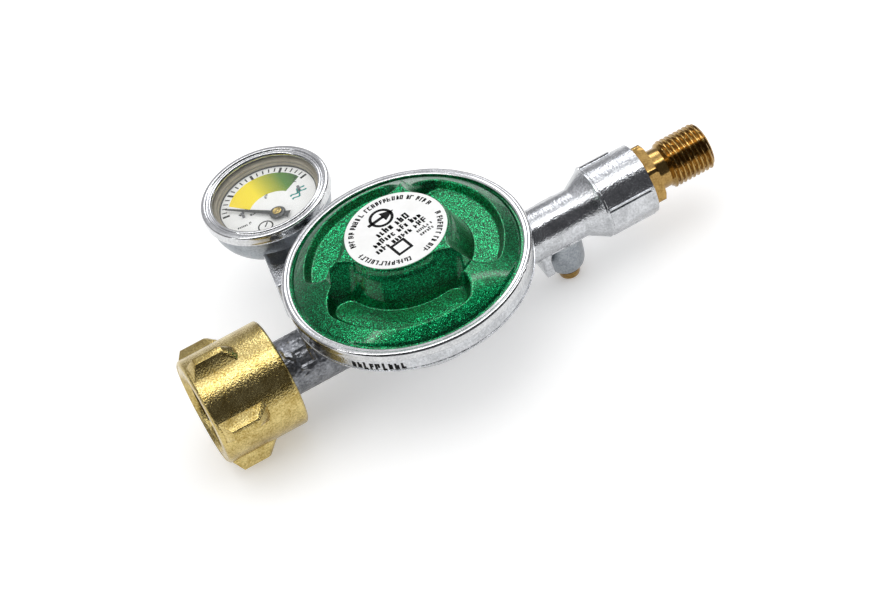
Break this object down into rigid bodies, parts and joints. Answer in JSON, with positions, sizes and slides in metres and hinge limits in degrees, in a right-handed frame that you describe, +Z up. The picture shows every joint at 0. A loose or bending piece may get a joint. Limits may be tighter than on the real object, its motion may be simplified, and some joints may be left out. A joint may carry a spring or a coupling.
{
  "type": "low-pressure gas regulator",
  "caption": "Disc-shaped gas regulator: hand nut inlet, green bonnet with a label, contents gauge on a side arm, threaded brass outlet and a test port.",
  "frame": {"origin": "middle of the inlet nut's mouth, on the axis shared by the inlet and the outlet", "axes": "+X downstream, from the inlet nut to the outlet thread; +Z up through the bonnet's label; +Y towards the gauge"},
  "size_m": [0.1499, 0.0996, 0.0436],
  "materials": {
    "zinc": "grey zinc die casting, satin, slightly grainy",
    "green_paint": "deep green metallic flake paint, glossy",
    "ring_steel": "bright rolled steel",
    "label": "white printed foil",
    "adjuster_plastic": "moulded black nylon, sealed under the label",
    "nitrile": "nitrile rubber",
    "plated_steel": "zinc-plated steel",
    "spring_steel": "drawn spring steel",
    "brass": "turned brass",
    "cast_brass": "blasted hot-pressed brass",
    "bronze": "phosphor bronze",
    "bezel_steel": "polished pressed steel",
    "lens": "clear window",
    "dial_white": "white printed aluminium",
    "pointer_black": "black painted aluminium",
    "movement_steel": "ground steel"
  },
  "bodies": {
    "body": {"body_casting": "zinc", "bonnet_cover": "green_paint", "bourdon_block": "brass", "bourdon_tip": "brass", "bourdon_tube": "bronze", "bracket_screws": "plated_steel", "clamp_ring": "ring_steel", "diaphragm": "nitrile", "gauge_bezel": "bezel_steel", "gauge_dial": "dial_white", "gauge_lens": "lens", "hairspring": "bronze", "inlet_filter": "bronze", "inlet_orifice": "brass", "inlet_seal": "nitrile", "inlet_stem": "brass", "label_disc": "label", "lens_gasket": "nitrile", "lever_bracket": "plated_steel", "lever_pin": "plated_steel", "main_spring": "spring_steel", "movement_back_plate": "brass", "movement_front_plate": "brass", "movement_pillars": "brass", "movement_screws": "movement_steel", "outlet_nipple": "brass", "outlet_seal": "nitrile", "spring_adjuster": "adjuster_plastic", "stop_pins": "movement_steel", "test_port_screw": "brass", "test_port_seal": "nitrile"},
    "hand_nut": {"inlet_hand_nut": "cast_brass"},
    "diaphragm_group": {"diaphragm_plate": "plated_steel", "diaphragm_washer": "plated_steel", "diaphragm_stem": "brass", "stem_nut": "plated_steel"},
    "valve_lever": {"valve_lever": "plated_steel", "valve_pad": "nitrile"},
    "pointer": {"pointer": "pointer_black", "pointer_cap": "brass", "pinion_arbor": "movement_steel"},
    "sector": {"sector_gear": "brass", "sector_arbor": "movement_steel", "link_pin": "movement_steel"},
    "link": {"gauge_link": "brass"}
  },
  "joints": [
    {"name": "inlet_nut_spin", "type": "hinge", "parent": "body", "child": "hand_nut", "pos_m": [0, 0, 0], "axis": [1, 0, 0], "continuous": true},
    {"name": "diaphragm_lift", "type": "slide", "parent": "body", "child": "diaphragm_group", "axis": [0, 0, 1], "range_m": [0, 0.0022], "stiffness_N_per_m": 300, "deforming": ["diaphragm", "main_spring"]},
    {"name": "lever_rock", "type": "hinge", "parent": "body", "child": "valve_lever", "pos_m": [0.0545, 0, -0.0034], "axis": [0, -1, 0], "range_deg": [0, 13.9]},
    {"name": "sector_turn", "type": "hinge", "parent": "body", "child": "sector", "pos_m": [0.0446, 0.0519, 0.01335], "axis": [-0.0199, 0.0503, 0.9985], "range_deg": [-0.75, 23.9], "stiffness_Nm_per_rad": 0.0005},
    {"name": "pointer_turn", "type": "hinge", "parent": "body", "child": "pointer", "pos_m": [0.0446, 0.04191, 0.01386], "axis": [-0.0199, 0.0503, 0.9985], "range_deg": [-96, 3.2]},
    {"name": "link_swing", "type": "hinge", "parent": "sector", "child": "link", "pos_m": [0.04539, 0.05561, 0.01318], "axis": [-0.0199, 0.0503, 0.9985], "range_deg": [-24, 0.8]}
  ],
  "couplings": [
    {"joint": "lever_rock", "follows": "diaphragm_lift", "rad_per_m": 109.89},
    {"joint": "pointer_turn", "follows": "sector_turn", "ratio": -4},
    {"joint": "link_swing", "follows": "sector_turn", "ratio": -1}
  ]
}
